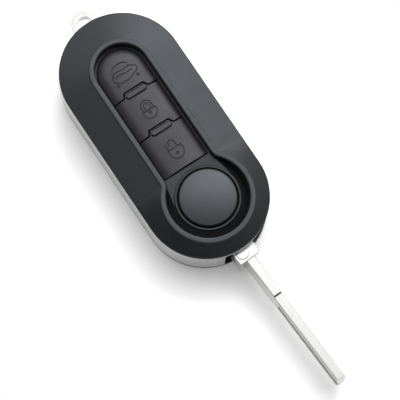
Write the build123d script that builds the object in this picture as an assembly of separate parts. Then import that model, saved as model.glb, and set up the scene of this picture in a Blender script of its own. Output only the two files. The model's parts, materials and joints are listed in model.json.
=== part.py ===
from build123d import *
import os
from math import asin, atan2, cos, degrees, radians, sin, sqrt

# Flip key fob shell with three buttons, a round release button and a blade
# that folds out of a slot along the right-hand side of the housing.
# Frame: origin at the centre of the flat back face, +Z up through the
# buttons, +Y towards the keyring lug, +X towards the blade slot.
# The blade is drawn open, as it is at rest. Millimetres and degrees.

# Body outline and the heights of its layers
body_length = 74.2
body_width = 34.0
seam_height = 2.0
frame_height = 11.6
edge_lip = 0.4
crown_rise = 2.8
crown_round = 0.25
rim_land = 0.4
rim_depth = 0.9
rim_round_out = 0.2
rim_round_in = 0.45
frame_inset = 0.2
trim_drop = 1.0
trim_width = 0.25
trim_depth = 0.2

# Walls and fits
cover_wall = 1.4
frame_wall = 1.5
rear_floor = 1.4
rear_edge_radius = 1.3
spigot_wall = 0.9
spigot_depth = 1.0
inner_wall = 1.1
seat_gap = 0.1
running_gap = 0.1
pin_gap = 0.05
swing_gap = 0.4
room_gap = 0.2
cut_over = 1.0

# Keyhole recess in the front cover
channel_half = 7.3
round_y = -21.2
round_radius = 11.0
neck_radius = 3.5
rim_width = 1.5
recess_depth = 3.2
recess_floor = 0.8
recess_wall = 1.2
roof_margin = 0.3
ledge_width = 0.4

# Push buttons
cap_half = 6.8
cap_height = 1.8
cap_crown_radius = 30.0
cap_shoulder = 2.5
cap_shoulder_radius = 6.0
cap_pitch = 12.15
cap_low = -11.0
cap_seam = 0.3
cap_wall = 0.9
cap_top = 1.5
cap_travel = 0.5
flange_width = 0.65
flange_thick = 0.6
plunger_radius = 1.5
plunger_shift = 1.0
tab_base = 7.6
tab_tip = 5.6
tab_height = 1.4
pill_length = 6.2
pill_width = 1.5
pill_raise = 0.4
pill_round = 0.3
pill_moat = 0.25
pill_sink = 0.25
cap_round = 0.15

# Keypad mat
mat_thick = 0.4
dome_base = 5.4
dome_tip = 3.8
dome_height = 0.6

# Release button, its collar and spring
button_radius = 7.8
button_edge = 2.2
dome_rise = 1.0
button_wall = 1.2
button_flange = 0.9
button_flange_thick = 0.5
button_flange_rise = 0.3
button_bevel = 0.3
hub_radius = 2.8
button_travel = 1.5
collar_height = 1.3
collar_ring_width = 0.65
collar_ring_raise = 0.3
collar_ring_round = 0.27
bridge_lean = 10.0
collar_land = 1.2
collar_slope = 59.0
collar_gap = 0.45
stem_radius = 1.7
stem_length = 9.0
finger_width = 2.0
finger_thick = 1.4
spring_radius = 4.2
spring_wire = 0.6
spring_turns = 3

# Keyring lug
lug_radius = 3.8
lug_hole_radius = 1.85
lug_reach = 18.75
lug_thick = 2.6
lug_z = 7.3
lug_flare = 12.0

# Blade, its carrier and the pivot
pivot_x = 6.9
pivot_y = -26.5
blade_offset = 6.66
open_tilt = 3.2
swing_height = 9.3
head_half = 3.2
head_reach = 13.3
head_corner_right = 1.8
head_corner_left = 0.5
head_height = 8.85
head_pad_radius = 1.7
head_pad_raise = 0.1
head_pad_x = 0.9
head_pad_y = 2.4
drum_radius = 6.2
drum_wall = 1.9
drum_floor = 1.8
groove_depth = 0.8
groove_margin = 20.0
groove_gap = 0.4
pivot_radius = 1.5
pivot_boss = 1.3
blade_thick = 2.6
blade_height = 8.4
blade_tip = 53.5
blade_step = 25.0
step_top = 0.8
step_bottom = 0.5
tang_length = 6.0
tang_height = 6.0
tip_bevel = 1.1
tip_slope = 1.65
tip_corner = 0.7
edge_break = 0.2
waist_depth = 0.3
waist_height = 3.6
waist_start = 27.5
roll_pin_radius = 0.9
roll_pin_wall = 0.4
roll_pin_slit = 0.3
roll_pin_inset = 0.2
flip_wire = 0.7
flip_radius = 3.05
flip_turns = 4
flip_seat = 0.3
flip_pitch = 0.85
slot_left_gap = 1.9
slot_end_gap = 0.5

# Battery drawer, its lock and contacts
cell_radius = 10.0
cell_gap = 0.15
cell_wall = 1.0
thumb_hole_radius = 6.0
drawer_y = 4.0
drawer_half = 11.2
drawer_back = -10.8
drawer_bottom = 2.4
drawer_height = 5.2
drawer_floor = 1.0
drawer_corner = 3.0
grip_half = 4.0
grip_height = 1.2
grip_depth = 0.5
channel_wall = 1.1
lock_radius = 1.9
lock_y = 18.4
lock_z = 6.5
lock_arm = 4.1
lock_arm_thick = 1.0
lock_arm_width = 1.6
lock_slot_half = 0.35
lock_slot_depth = 0.6
arm_gap = 0.3
contact_thick = 0.3
contact_width = 5.0
contact_room = 0.6
contact_bow = 0.45
contact_foot = 1.0
contact_run = 3.0
contact_dip = 0.9

# Chassis, screws and snap hooks
deck_gap = 0.1
deck_thick = 0.8
well_depth = 1.8
well_floor = 0.8
well_gap = 0.7
screw_radius = 0.8
screw_head_radius = 1.4
screw_head_thick = 0.6
screw_length = 2.4
screw_low_drop = 1.0
screw_right_rise = 7.0
cross_half = 0.2
cross_reach = 1.0
cross_depth = 0.3
boss_radius = 1.6
hook_width = 4.0
hook_height = 3.6
hook_barb = 0.4
hook_barb_height = 0.8
hook_back = 4.0

# Places worked out from the sizes above
half_width = body_width / 2
arc_y = (body_length - body_width) / 2
edge_z = seam_height + frame_height
crown_z = edge_z + edge_lip
rim_z = crown_z + crown_rise + rim_land
floor_z = rim_z - recess_depth
floor_under_z = floor_z - recess_floor
frame_half = half_width - frame_inset
frame_inner = frame_half - frame_wall
spigot_half = frame_inner - seat_gap
walls_half = spigot_half - spigot_wall - seat_gap
slot_top_z = seam_height + swing_height
deck_z = slot_top_z + deck_gap
deck_top_z = deck_z + deck_thick
well_floor_z = deck_top_z - well_depth
bay_roof_z = well_floor_z - well_floor
well_half = channel_half + well_gap
cap_top_z = floor_z + cap_height
flange_z = floor_under_z - flange_thick
pivot = Vector(pivot_x, pivot_y)
stem_place = Vector(0, round_y)
swing_mid_z = seam_height + swing_height / 2
head_low_z = swing_mid_z - head_height / 2
head_top_z = swing_mid_z + head_height / 2
blade_low_z = swing_mid_z - blade_height / 2
blade_top_z = swing_mid_z + blade_height / 2
fold_angle = 180 - open_tilt
channel_x = pivot_x + blade_offset - blade_thick / 2 - swing_gap
tip_folded_y = pivot_y + blade_tip
button_under_z = floor_z + button_flange_rise
mat_top_z = well_floor_z + mat_thick + dome_height
plunger_z = mat_top_z + cap_travel + running_gap
stem_low_z = button_under_z - stem_length
roll_pin_y = -head_reach + tang_length / 2
wide = 4 * body_width


def stadium(half):
    """Round-ended outline, concentric with the body's end arcs."""
    return SlotCenterToCenter(2 * arc_y, 2 * half, rotation=90)


def prism(sketch, z_low, z_high):
    """Upright solid on a sketch, from one height to another."""
    return extrude(Pos(0, 0, z_low) * sketch, z_high - z_low)


def post(x, y, radius, z_low, z_high):
    """Upright round solid."""
    return prism(Pos(x, y) * Circle(radius), z_low, z_high)


def block(x_low, x_high, y_low, y_high, z_low, z_high):
    """Box given by its lowest and highest corners."""
    size = (x_high - x_low, y_high - y_low, z_high - z_low)
    middle = Pos((x_low + x_high) / 2, (y_low + y_high) / 2, (z_low + z_high) / 2)
    return middle * Box(*size)


def polar(radius, angle):
    """Point at an angle on a circle about the origin."""
    return Vector(radius * cos(radians(angle)), radius * sin(radians(angle)))


def mirrored(point):
    """The same point on the other side of the centre line."""
    return (-point[0], point[1])


def neck_centre(half, radius, neck):
    """Centre of the hollow arc between the channel's side and the round end."""
    rise = sqrt((radius + neck) ** 2 - (half + neck) ** 2)
    return (half + neck, round_y + rise)


def neck_lean(half, radius, neck):
    """Angle at which the hollow neck arc meets the round end."""
    centre = neck_centre(half, radius, neck)
    return degrees(atan2(centre[1] - round_y, centre[0]))


def keyhole_edges(half, radius, neck):
    """Channel with a round top, necks and a larger round lower end."""
    centre = neck_centre(half, radius, neck)
    lean = neck_lean(half, radius, neck)
    wide_lean = degrees(asin((-arc_y - round_y) / radius))
    side_top = (half, arc_y)
    side_low = (half, centre[1])
    bend = polar(neck, 180 + lean / 2)
    neck_mid = (centre[0] + bend.X, centre[1] + bend.Y)
    neck_end, shoulder, widest = [
        (polar(radius, angle).X, round_y + polar(radius, angle).Y)
        for angle in (lean, (lean + wide_lean) / 2, wide_lean)
    ]
    return [
        ThreePointArc(side_top, (0, arc_y + half), mirrored(side_top)),
        Line(mirrored(side_top), mirrored(side_low)),
        ThreePointArc(mirrored(side_low), mirrored(neck_mid), mirrored(neck_end)),
        ThreePointArc(mirrored(neck_end), mirrored(shoulder), mirrored(widest)),
        ThreePointArc(mirrored(widest), (0, round_y - radius), widest),
        ThreePointArc(widest, shoulder, neck_end),
        ThreePointArc(neck_end, neck_mid, side_low),
        Line(side_low, side_top),
    ]


def keyhole(growth):
    """Recess outline, grown outwards by a wall's thickness."""
    edges = keyhole_edges(
        channel_half + growth, round_radius + growth, neck_radius - growth
    )
    return make_face(edges)


def outline_edges(half, growth):
    """Body outline split level with the corners of the keyhole's outline."""
    sizes = (channel_half + growth, round_radius + growth, neck_radius - growth)
    neck_end_y = round_y + polar(round_radius + growth, neck_lean(*sizes)).Y
    side_top = (half, arc_y)
    side_mid = (half, neck_centre(*sizes)[1])
    side_neck = (half, neck_end_y)
    side_low = (half, -arc_y)
    return [
        ThreePointArc(side_top, (0, arc_y + half), mirrored(side_top)),
        Line(mirrored(side_top), mirrored(side_mid)),
        Line(mirrored(side_mid), mirrored(side_neck)),
        Line(mirrored(side_neck), mirrored(side_low)),
        ThreePointArc(mirrored(side_low), (0, -arc_y - half), side_low),
        Line(side_low, side_neck),
        Line(side_neck, side_mid),
        Line(side_mid, side_top),
    ]


def crown(half, z_low, growth, z_high):
    """Sloping roof between the body outline and the keyhole's rim."""
    low = Pos(0, 0, z_low) * make_face(outline_edges(half, growth))
    edges = keyhole_edges(
        channel_half + growth, round_radius + growth, neck_radius - growth
    )
    high = Pos(0, 0, z_high) * make_face(edges)
    return loft([low, high], ruled=True)


def blade_place():
    """Turns the blade's own frame, pivot at its origin, to the open pose."""
    return Pos(pivot_x, pivot_y) * Rot(0, 0, open_tilt)


def swing_pocket():
    """Plan of all that the blade and its carrier pass through."""
    left = -blade_offset - head_half - slot_left_gap
    slot_edge = blade_place() * Pos(left, -wide / 2)
    lean = Rot(0, 0, open_tilt) * Pos(0, 1)
    edge = Vector(slot_edge.position.X, slot_edge.position.Y)
    along = Vector(lean.position.X, lean.position.Y)
    back_y = pivot_y + swing_gap
    edge_top = edge + along * ((back_y - edge.Y) / along.Y)
    head_x = pivot_x + blade_offset - head_half - swing_gap
    head_y = pivot_y + head_reach + swing_gap
    end_y = tip_folded_y + slot_end_gap
    points = [
        (edge.X, edge.Y),
        (edge_top.X, edge_top.Y),
        (head_x, back_y),
        (head_x, head_y),
        (channel_x, head_y),
        (channel_x, end_y),
        (wide, end_y),
        (wide, edge.Y),
    ]
    drum = Pos(pivot_x, pivot_y) * Circle(drum_radius + swing_gap)
    folded = Pos(pivot_x, pivot_y) * Rot(0, 0, 180)
    web = folded * offset(web_plan(), amount=swing_gap, kind=Kind.INTERSECTION)
    return make_face(Polyline(*points, close=True)) + drum + web


def screw_places():
    """Three screws between the chassis deck and the front cover."""
    side_x = (channel_half + recess_wall + spigot_half) / 2
    right_x = channel_x - channel_wall - screw_head_radius
    return [
        (-side_x, cap_low - screw_low_drop),
        (-side_x, arc_y),
        (right_x, arc_y + screw_right_rise),
    ]


def hook_places():
    """Snap hooks of the rear cover: place on the frame's inside, direction."""
    return [
        (Pos(-spigot_half, cap_low), 180),
        (Pos(-spigot_half, arc_y - hook_back), 180),
        (Pos(0, arc_y + spigot_half), 90),
    ]


def front_cover():
    lip = prism(stadium(half_width), edge_z, crown_z)
    shell = lip + crown(half_width, crown_z, rim_width, crown_z + crown_rise)
    brow = shell.edges().filter_by_position(Axis.Z, crown_z - seat_gap, crown_z + seat_gap)
    shell = fillet(brow, crown_round)
    rim = prism(keyhole(rim_width) - keyhole(0), rim_z - rim_depth, rim_z)
    rim_top = rim.faces().sort_by(Axis.Z)[-1]
    rim = fillet(rim_top.outer_wire().edges(), rim_round_out)
    rim_top = rim.faces().sort_by(Axis.Z)[-1]
    rim = fillet(rim_top.inner_wires()[0].edges(), rim_round_in)
    spigot = prism(stadium(spigot_half), edge_z - spigot_depth, edge_z)
    recess_block = prism(keyhole(recess_wall), deck_top_z, crown_z)
    inner_half = spigot_half - spigot_wall
    roof_slope = crown_rise / (half_width - channel_half - rim_width)
    inner_growth = recess_wall + roof_margin
    inner_run = inner_half - channel_half - inner_growth
    inner_top_z = edge_z + roof_slope * inner_run
    void = prism(stadium(inner_half), edge_z - spigot_depth, edge_z)
    void += crown(inner_half, edge_z, inner_growth, inner_top_z)
    void -= prism(keyhole(recess_wall), edge_z - spigot_depth, rim_z)
    cover = shell + rim + spigot + recess_block - void
    cover -= prism(keyhole(0), floor_z, rim_z + cut_over)
    cover -= prism(keypad_window(), flange_z, floor_z)
    cover -= prism(flange_pocket(), deck_top_z, floor_under_z)
    hole = button_radius + button_flange + running_gap
    cover -= post(0, round_y, hole, deck_top_z, floor_z)
    boss_top = edge_z + cover_wall
    for x, y in screw_places():
        cover += post(x, y, boss_radius, deck_top_z, boss_top)
        cover -= post(x, y, screw_radius, deck_top_z, deck_z + screw_length)
    return cover


def arched(half, low):
    """Straight-sided outline with a round top, from a given lower edge."""
    return make_face(
        [
            Line((-half, low), (half, low)),
            Line((half, low), (half, arc_y)),
            ThreePointArc((half, arc_y), (0, arc_y + half), (-half, arc_y)),
            Line((-half, arc_y), (-half, low)),
        ]
    )


def keypad_region(half):
    """Channel outline down to the lowest button's lower edge."""
    return arched(half, cap_low + cap_seam / 2 - (half - cap_half))


def keypad_window():
    return keypad_region(channel_half - ledge_width)


def flange_pocket():
    return keypad_region(cap_half + flange_width + running_gap)


def seam_tab(y, growth):
    """Tongue of the lower button that stands up into the one above."""
    base = tab_base / 2 + growth
    tip = tab_tip / 2 + growth
    top = y + tab_height + growth
    points = [(-base, y), (-tip, top), (tip, top), (base, y)]
    return make_face(Polyline(*points, close=True))


def cap_roof():
    """Crowned body with sloping shoulders that the three caps' tops are cut from."""
    lean = degrees(asin((cap_half - cap_shoulder) / cap_crown_radius))
    crown_centre_z = cap_top_z - cap_crown_radius

    def on_crown(angle):
        point = polar(cap_crown_radius, 90 - angle)
        return (point.X, crown_centre_z + point.Y)

    shoulder = on_crown(lean)
    bend = Vector(*shoulder) - polar(cap_shoulder_radius, 90 - lean)
    edge_lean = degrees(asin((cap_half - bend.X) / cap_shoulder_radius))

    def on_shoulder(angle):
        point = bend + polar(cap_shoulder_radius, 90 - angle)
        return (point.X, point.Y)

    edge = on_shoulder(edge_lean)
    half = make_face(
        [
            ThreePointArc((0, cap_top_z), on_crown(lean / 2), shoulder),
            ThreePointArc(shoulder, on_shoulder((lean + edge_lean) / 2), edge),
            Line(edge, (cap_half, flange_z)),
            Line((cap_half, flange_z), (0, flange_z)),
            Line((0, flange_z), (0, cap_top_z)),
        ]
    )
    straight = Pos(0, arc_y) * extrude(Plane.XZ * half, arc_y - cap_low)
    round_end = Pos(0, arc_y) * revolve(Plane.XZ * half, Axis.Z)
    return straight + mirror(straight, Plane.YZ) + round_end


def button_cap(place):
    """One cap of the three, counted upwards from the release button."""
    low = cap_low + place * cap_pitch + cap_seam / 2
    high = low + cap_pitch - cap_seam
    topmost = place == 2
    skirt_half = cap_half + flange_width
    if topmost:
        plan = arched(cap_half, low)
        flange = arched(skirt_half, low)
        high = arc_y + cap_half
    else:
        plan = Pos(0, (low + high) / 2) * Rectangle(2 * cap_half, high - low)
        flange = Pos(0, (low + high) / 2) * Rectangle(2 * skirt_half, high - low)
    pocket_low = low + cap_wall
    if place > 0:
        notch = seam_tab(low - cap_seam, cap_seam)
        plan -= notch
        flange -= notch
        pocket_low += tab_height
    if not topmost:
        plan += seam_tab(high, 0)
    cap = prism(plan, flange_z, cap_top_z) & cap_roof()
    seam_edges = cap.edges().filter_by_position(Axis.Z, floor_z + cap_wall, cap_top_z)
    seam_edges = seam_edges.filter_by_position(Axis.Y, cap_low, arc_y - cap_wall)
    cap = fillet(seam_edges.filter_by(Axis.Y, reverse=True), cap_round)
    cap += prism(flange, flange_z, floor_under_z)
    pocket_half = cap_half - cap_wall
    pocket_high = min(high - cap_wall, arc_y + pocket_half / 2)
    pocket_top = cap_top_z - cap_top
    cap -= block(-pocket_half, pocket_half, pocket_low, pocket_high, flange_z, pocket_top)
    middle = plunger_y(place)
    cap += post(0, middle, plunger_radius, plunger_z, pocket_top)
    if not topmost:
        pill_place = Pos(0, high + cap_seam / 2)
        pill = pill_place * SlotOverall(pill_length, pill_width)
        moat = pill_place * SlotOverall(pill_length + 2 * pill_moat, pill_width + 2 * pill_moat)
        cap -= prism(moat, cap_top_z - pill_sink, cap_top_z)
        rib = prism(pill, pocket_top, cap_top_z + pill_raise)
        rib = fillet(rib.faces().sort_by(Axis.Z)[-1].edges(), pill_round)
        cap += rib
    return cap


def plunger_y(place):
    """Middle of a cap, where its plunger meets the mat's dome."""
    return cap_low + (place + 0.5) * cap_pitch + (plunger_shift if place == 2 else 0)


def keypad_mat():
    web = prism(keypad_region(well_half - seat_gap), well_floor_z, well_floor_z + mat_thick)
    for place in range(3):
        low = Pos(0, plunger_y(place), well_floor_z + mat_thick) * Circle(dome_base / 2)
        high = Pos(0, plunger_y(place), mat_top_z) * Circle(dome_tip / 2)
        web += loft([low, high])
        hollow = dome_tip / 2 - mat_thick
        web -= post(0, plunger_y(place), hollow, well_floor_z, mat_top_z - mat_thick)
    return web


def release_collar():
    """Bezel round the release button, with a flat bridge to the lowest cap."""
    inside = button_radius + collar_gap
    land = inside + collar_ring_width
    top_z = floor_z + collar_height
    touch = polar(land, bridge_lean)
    bridge_y = cap_low - cap_seam / 2
    reach = (bridge_y - round_y - touch.Y) / cos(radians(bridge_lean))
    corner = (touch.X - reach * sin(radians(bridge_lean)), bridge_y)
    points = [mirrored(corner), (-touch.X, round_y + touch.Y)]
    points += [(touch.X, round_y + touch.Y), corner]
    flat = make_face(Polyline(*points, close=True)) + Pos(0, round_y) * Circle(land)
    body = extrude(Pos(0, 0, top_z) * flat, -collar_height, taper=-collar_slope)
    base = prism(flat, floor_z, top_z)
    room = prism(keyhole(-seat_gap), floor_z, top_z)
    room -= block(-wide, wide, bridge_y, wide, floor_z, top_z)
    collar = (body + base) & room
    ring = post(0, round_y, land, top_z, top_z + collar_ring_raise)
    ring = fillet(ring.faces().sort_by(Axis.Z)[-1].edges(), collar_ring_round)
    collar += ring
    collar -= post(0, round_y, button_radius + running_gap, floor_z, rim_z)
    mouth = Pos(0, round_y, top_z - collar_land / 2) * Circle(button_radius + running_gap)
    brim_z = top_z + collar_ring_raise
    brim = Pos(0, round_y, brim_z) * Circle(inside)
    collar -= loft([mouth, brim])
    under = button_radius + button_flange + running_gap
    collar -= post(0, round_y, under, floor_z, button_under_z)
    return collar


def release_button():
    """Domed button with a stem; its finger runs in the drum's groove."""
    edge = floor_z + button_edge
    crown_top = edge + dome_rise
    flange_low = button_under_z - button_flange_thick
    chord = button_radius - button_bevel
    centre_z = crown_top - (chord ** 2 + dome_rise ** 2) / (2 * dome_rise)
    profile = make_face(
        [
            Line((0, flange_low), (button_radius + button_flange, flange_low)),
            Line(
                (button_radius + button_flange, flange_low),
                (button_radius + button_flange, button_under_z),
            ),
            Line((button_radius + button_flange, button_under_z), (button_radius, button_under_z)),
            Line((button_radius, button_under_z), (button_radius, edge - button_bevel)),
            Line((button_radius, edge - button_bevel), (chord, edge)),
            ThreePointArc(
                (chord, edge),
                (
                    chord / 2,
                    centre_z + sqrt((crown_top - centre_z) ** 2 - (chord / 2) ** 2),
                ),
                (0, crown_top),
            ),
            Line((0, crown_top), (0, flange_low)),
        ]
    )
    body = Pos(0, round_y) * revolve(Plane.XZ * profile, Axis.Z)
    cup_top = edge - button_wall
    cup = post(0, round_y, button_radius - button_wall, flange_low, cup_top)
    hub = post(0, round_y, hub_radius, flange_low, cup_top)
    body -= cup - hub
    body += post(0, round_y, stem_radius, stem_low_z, cup_top)
    return body + latch_finger(0, 0)


def latch_finger(growth, drop):
    """Bar from the stem towards the pivot, thickened where room is cut for it."""
    gap = pivot - stem_place
    reach = gap.length - (drum_radius - groove_depth + room_gap)
    turn = degrees(atan2(gap.Y, gap.X))
    bar = Pos(reach / 2, 0) * Rectangle(reach + growth, finger_width + 2 * growth)
    place = Pos(0, round_y) * Rot(0, 0, turn)
    return prism(place * bar, stem_low_z - drop, stem_low_z + finger_thick + growth)


def coil(x, y, radius, wire, turns, z_low, z_high):
    """Closed-end round-wire coil between two heights, wire inside them."""
    path = Pos(x, y, z_low + wire / 2) * Helix(
        pitch=(z_high - z_low - wire) / turns, height=z_high - z_low - wire, radius=radius
    )
    section = Plane(path @ 0, z_dir=path % 0) * RegularPolygon(wire / 2, 8)
    return sweep(section, path=path, is_frenet=True)


def release_spring():
    top = floor_z + button_edge - button_wall
    return coil(0, round_y, spring_radius, spring_wire, spring_turns, deck_top_z, top)


def lug_outline(growth):
    """Round ear with sides that flare towards the frame."""
    centre_y = arc_y + lug_reach
    side = polar(lug_radius + growth, -lug_flare)
    reach = lug_radius
    foot = (side.X + reach * sin(radians(lug_flare)), centre_y + side.Y - reach)
    points = [mirrored(foot), (-side.X, centre_y + side.Y)]
    points += [(side.X, centre_y + side.Y), foot]
    return make_face(Polyline(*points, close=True)) + Pos(0, centre_y) * Circle(lug_radius + growth)


def silver_frame():
    outer = prism(stadium(frame_half), seam_height, edge_z)
    inner = prism(stadium(frame_inner), seam_height, edge_z)
    lug = prism(lug_outline(0), lug_z - lug_thick / 2, lug_z + lug_thick / 2)
    frame = outer + (lug - inner) - inner
    hole_y = arc_y + lug_reach
    frame -= post(0, hole_y, lug_hole_radius, seam_height, edge_z)
    frame -= prism(swing_pocket(), seam_height, slot_top_z)
    trim = stadium(half_width) - stadium(frame_half - trim_depth)
    frame -= prism(trim, edge_z - trim_drop - trim_width, edge_z - trim_drop)
    for place, turn in hook_places():
        frame -= snap_barb(place, turn, seat_gap)
    return frame


def snap_barb(place, turn, growth):
    """Outward nose of a hook, or with some growth the pocket it snaps into."""
    top = rear_floor + hook_height + growth
    low = top - hook_barb_height - 2 * growth
    across = hook_width + 2 * growth
    out = seat_gap + hook_barb + growth
    nose = block(-spigot_wall, out, -across / 2, across / 2, low, top)
    return place * Rot(0, 0, turn) * nose


def rear_cover():
    shell = prism(stadium(frame_half), 0, seam_height)
    shell = fillet(shell.faces().sort_by(Axis.Z)[0].edges(), rear_edge_radius)
    shell -= prism(stadium(walls_half), rear_floor, seam_height)
    ring = stadium(spigot_half) - stadium(spigot_half - spigot_wall)
    spigot = prism(ring, rear_floor, seam_height + spigot_depth)
    spigot -= prism(swing_pocket(), seam_height, slot_top_z)
    cover = shell + spigot
    for place, turn in hook_places():
        half = hook_width / 2
        leaf = block(-spigot_wall, 0, -half, half, rear_floor, rear_floor + hook_height)
        cover += (place * Rot(0, 0, turn) * leaf) & prism(stadium(spigot_half), 0, edge_z)
        cover += snap_barb(place, turn, 0)
    boss_top = head_low_z - room_gap
    cover += post(pivot_x, pivot_y, pivot_radius + pivot_boss, rear_floor, boss_top)
    cover -= post(pivot_x, pivot_y, pivot_radius, rear_floor, boss_top)
    return cover


def inner_chassis():
    """Deck under the keypad, battery bay and the wall round the blade's path."""
    deck = prism(stadium(spigot_half), deck_z, deck_top_z)
    well_wall = prism(keypad_region(well_half + inner_wall), bay_roof_z, deck_top_z)
    pocket = swing_pocket()
    liner = offset(pocket, amount=channel_wall) & stadium(walls_half)
    walls = prism(liner, rear_floor, deck_z)
    rail = drawer_half + running_gap
    bay_end = drawer_back - contact_room - inner_wall
    bay = block(
        bay_end, channel_x, drawer_y - rail - inner_wall, drawer_y + rail + inner_wall,
        rear_floor, deck_z,
    )
    inside = block(
        bay_end + inner_wall, channel_x - channel_wall, drawer_y - rail, drawer_y + rail,
        rear_floor, bay_roof_z,
    )
    chassis = deck + well_wall + walls + bay - inside
    chassis -= prism(keypad_region(well_half), well_floor_z, deck_top_z)
    chassis -= prism(pocket, rear_floor, deck_z)
    chassis -= drawer_mouth()
    chassis -= lock_room()
    chassis -= post(0, round_y, stem_radius + running_gap, rear_floor, deck_top_z)
    chassis -= latch_finger(room_gap, button_travel + room_gap)
    chassis -= post(pivot_x, pivot_y, pivot_radius, deck_z, deck_top_z)
    chassis -= post(pivot_x + flip_radius, pivot_y, flip_wire, deck_z, deck_top_z)
    for x, y in screw_places():
        chassis -= post(x, y, screw_radius, deck_z, deck_top_z)
        chassis -= post(x, y, screw_head_radius + seat_gap, bay_roof_z, deck_z)
    return chassis


def drawer_mouth():
    """Opening of the bay through the channel wall."""
    low = drawer_y - drawer_half - running_gap
    high = drawer_y + drawer_half + running_gap
    top = drawer_bottom + drawer_height + running_gap
    return block(channel_x - channel_wall, channel_x, low, high, rear_floor, top)


def lock_room():
    """Bore for the lock screw and the space that its arm sweeps."""
    bore = x_post(channel_x - channel_wall, channel_x, lock_radius + pin_gap)
    behind = channel_x - channel_wall
    sweep_room = x_post(behind - lock_arm_thick - arm_gap, behind, lock_arm + arm_gap)
    return bore + sweep_room


def x_post(x_low, x_high, radius):
    """Round solid along X on the lock screw's axis."""
    middle = Pos((x_low + x_high) / 2, lock_y, lock_z)
    return middle * Rot(0, 90, 0) * Cylinder(radius, x_high - x_low)


def drawer_lock_screw():
    """Quarter-turn screw; drawn unlocked, with its arm upwards."""
    behind = channel_x - channel_wall
    screw = x_post(behind - lock_arm_thick, channel_x, lock_radius)
    low = behind - lock_arm_thick
    arm = block(low, behind - running_gap, -lock_arm_width / 2, lock_arm_width / 2, 0, lock_arm)
    screw += Pos(0, lock_y, lock_z) * arm
    slot = block(
        channel_x - lock_slot_depth, channel_x, -lock_slot_half, lock_slot_half,
        -lock_radius, lock_radius,
    )
    return screw - Pos(0, lock_y, lock_z) * slot


def battery_drawer():
    """Tray for a round cell, with a notch for the lock screw's arm."""
    low = drawer_y - drawer_half
    high = drawer_y + drawer_half
    top = drawer_bottom + drawer_height
    tray = block(drawer_back, channel_x, low, high, drawer_bottom, top)
    corners = tray.edges().filter_by(Axis.Z).sort_by(Axis.X)[:2]
    tray = fillet(corners, drawer_corner)
    cell_x = drawer_back + cell_wall + cell_radius
    floor = drawer_bottom + drawer_floor
    tray -= post(cell_x, drawer_y, cell_radius + cell_gap, floor, top)
    tray -= post(cell_x, drawer_y, thumb_hole_radius, drawer_bottom, floor)
    behind = channel_x - channel_wall
    tip_y = lock_y - lock_arm - arm_gap
    half = lock_arm_width / 2 + arm_gap
    tray -= block(
        behind - lock_arm_thick - arm_gap, behind + running_gap, tip_y, high, lock_z - half, top
    )
    grip = block(
        channel_x - grip_depth, channel_x, drawer_y - grip_half, drawer_y + grip_half,
        floor, floor + grip_height,
    )
    return tray - grip


def battery_contact_positive():
    """Bowed leaf on the bay's end wall."""
    back = drawer_back - contact_room
    high = drawer_bottom + drawer_height
    low = drawer_bottom + contact_room
    face = back + contact_thick / 2
    points = [(face, high), (back + contact_bow, (drawer_bottom + high) / 2), (face, low)]
    return contact_strip(points)


def battery_contact_negative():
    """Leaf under the bay's roof, bent down at its free end."""
    top = bay_roof_z - contact_thick / 2
    fold = drawer_bottom + drawer_height + contact_thick + room_gap
    start = drawer_back + contact_foot
    points = [(start, top), (start + contact_run, top), (start + 2 * contact_run, fold)]
    points += [(start + 2 * contact_run + contact_foot, top - contact_dip)]
    return contact_strip(points)


def contact_strip(points):
    """Sheet strip bent along points in the upright plane, centred on the drawer."""
    strip = trace(Polyline(*points), line_width=contact_thick)
    return extrude(Plane.XZ.offset(-drawer_y - contact_width / 2) * strip, contact_width)


def web_plan():
    """Plan of the web that joins the drum to the arm."""
    points = [(-blade_offset, 0), (0, 0), (0, -drum_radius)]
    points += [(-blade_offset + head_half, -head_reach / 2)]
    return make_face(Polyline(*points, close=True))


def carrier_plan():
    """Drum and arm, trimmed to lie flush with the body when folded."""
    arm = block(
        -blade_offset - head_half, -blade_offset + head_half, -head_reach, 0,
        head_low_z, head_top_z,
    )
    for side, radius in ((0, head_corner_left), (-1, head_corner_right)):
        corner = arm.edges().filter_by(Axis.Z).group_by(Axis.Y)[0].sort_by(Axis.X)[side]
        arm = fillet(corner, radius)
    web = prism(web_plan(), head_low_z, head_top_z)
    drum = post(0, 0, drum_radius, head_low_z, head_top_z)
    folded = Pos(pivot_x, pivot_y) * Rot(0, 0, 180)
    flush = folded.inverse() * prism(stadium(frame_half), head_low_z, head_top_z)
    return (arm & flush) + web + drum


def blade_carrier():
    body = carrier_plan()
    bore = drum_radius - drum_wall
    body -= post(0, 0, bore, head_low_z + drum_floor, head_top_z)
    body -= post(0, 0, pivot_radius + pin_gap, head_low_z, head_top_z)
    body -= drum_groove()
    body -= tang()
    body -= roll_pin_bore()
    pad_top = head_top_z + head_pad_raise
    body += post(
        -blade_offset - head_pad_x, -head_reach + head_pad_y, head_pad_radius,
        head_top_z, pad_top,
    )
    return blade_place() * body


def drum_groove():
    """Groove for the latch finger; its two ends are the stops of the swing."""
    gap = stem_place - pivot
    finger = degrees(atan2(gap.Y, gap.X)) - open_tilt
    start = finger - fold_angle - groove_margin
    sweep_angle = fold_angle + 2 * groove_margin
    floor = drum_radius - groove_depth
    low = stem_low_z - button_travel - groove_gap
    high = stem_low_z + finger_thick + groove_gap
    outside = drum_radius + cut_over
    ring = Pos((floor + outside) / 2, (low + high) / 2) * Rectangle(outside - floor, high - low)
    section = Plane.XZ * ring
    return Rot(0, 0, start) * revolve(section, Axis.Z, sweep_angle)


def tang():
    """Root of the blade inside the head."""
    half = blade_thick / 2
    return block(
        -blade_offset - half, -blade_offset + half, -head_reach, -head_reach + tang_length,
        swing_mid_z - tang_height / 2, swing_mid_z + tang_height / 2,
    )


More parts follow.
